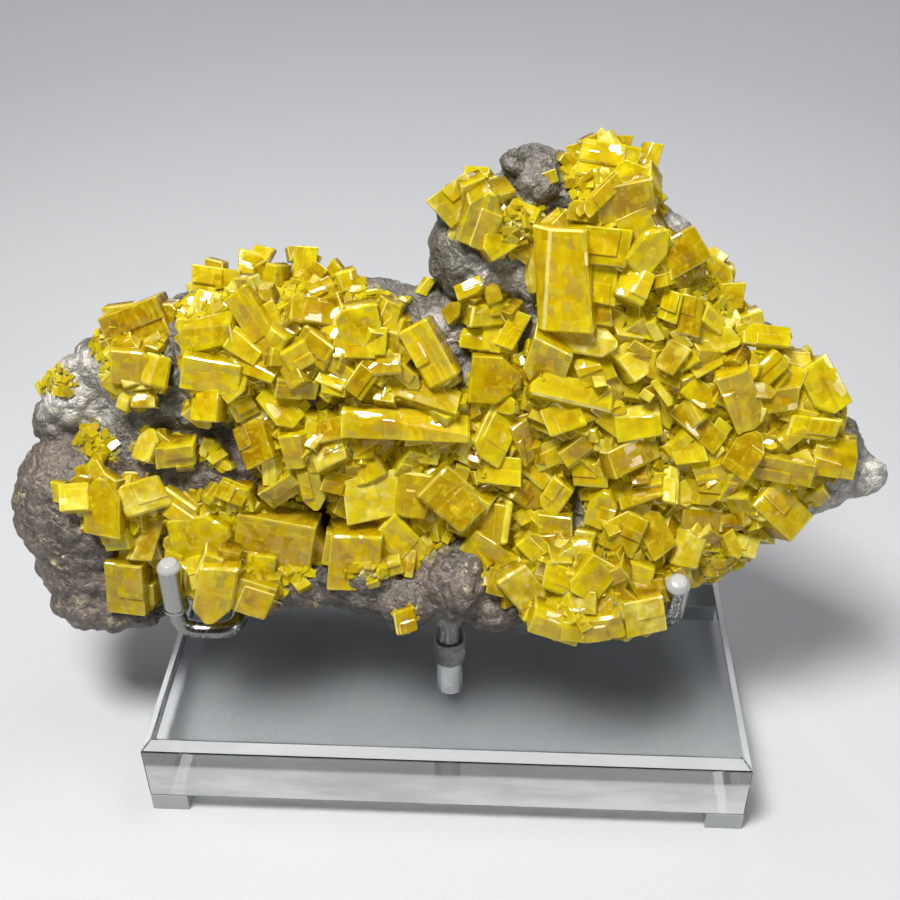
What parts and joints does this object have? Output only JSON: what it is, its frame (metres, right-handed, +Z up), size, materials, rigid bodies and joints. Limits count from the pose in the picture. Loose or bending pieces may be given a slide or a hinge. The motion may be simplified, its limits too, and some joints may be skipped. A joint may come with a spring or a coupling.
{
  "type": "baryte crystal specimen on display stand",
  "caption": "Tabular yellow baryte crystals on a lumpy grey-brown matrix rock, held by bent steel prongs over a clear block display stand.",
  "frame": {"origin": "middle of the whole object's footprint box, on the surface that the feet stand on", "axes": "+X to the viewer's right along the long side of the block, +Y away from the viewer, +Z up"},
  "size_m": [0.288, 0.1076, 0.2096],
  "materials": {
    "clear_acrylic": "clear polished acrylic",
    "polished_steel": "polished round bar",
    "frosted_sleeve": "frosted translucent plastic",
    "grey_brown_matrix": "lumpy, glistening in places",
    "yellow_baryte": "translucent, glassy flat faces"
  },
  "bodies": {
    "root": {"acrylic_block": "clear_acrylic", "foot_front_left": "clear_acrylic", "foot_front_right": "clear_acrylic", "foot_back_left": "clear_acrylic", "foot_back_right": "clear_acrylic", "steel_post": "polished_steel", "steel_hub": "polished_steel", "left_arm": "polished_steel", "right_arm": "polished_steel", "back_rest": "polished_steel", "post_sleeve": "frosted_sleeve", "left_arm_sleeve": "frosted_sleeve", "right_arm_sleeve": "frosted_sleeve", "back_rest_sleeve": "frosted_sleeve", "matrix_rock": "grey_brown_matrix", "crystals_main": "yellow_baryte", "crystals_left_edge": "yellow_baryte", "crystals_on_dome": "yellow_baryte", "crystals_on_ledge": "yellow_baryte", "crystals_lower_left": "yellow_baryte", "crystal_in_saddle": "yellow_baryte", "crystals_centre": "yellow_baryte", "crystals_on_peak": "yellow_baryte", "crystal_lower_edge": "yellow_baryte"}
  },
  "joints": []
}
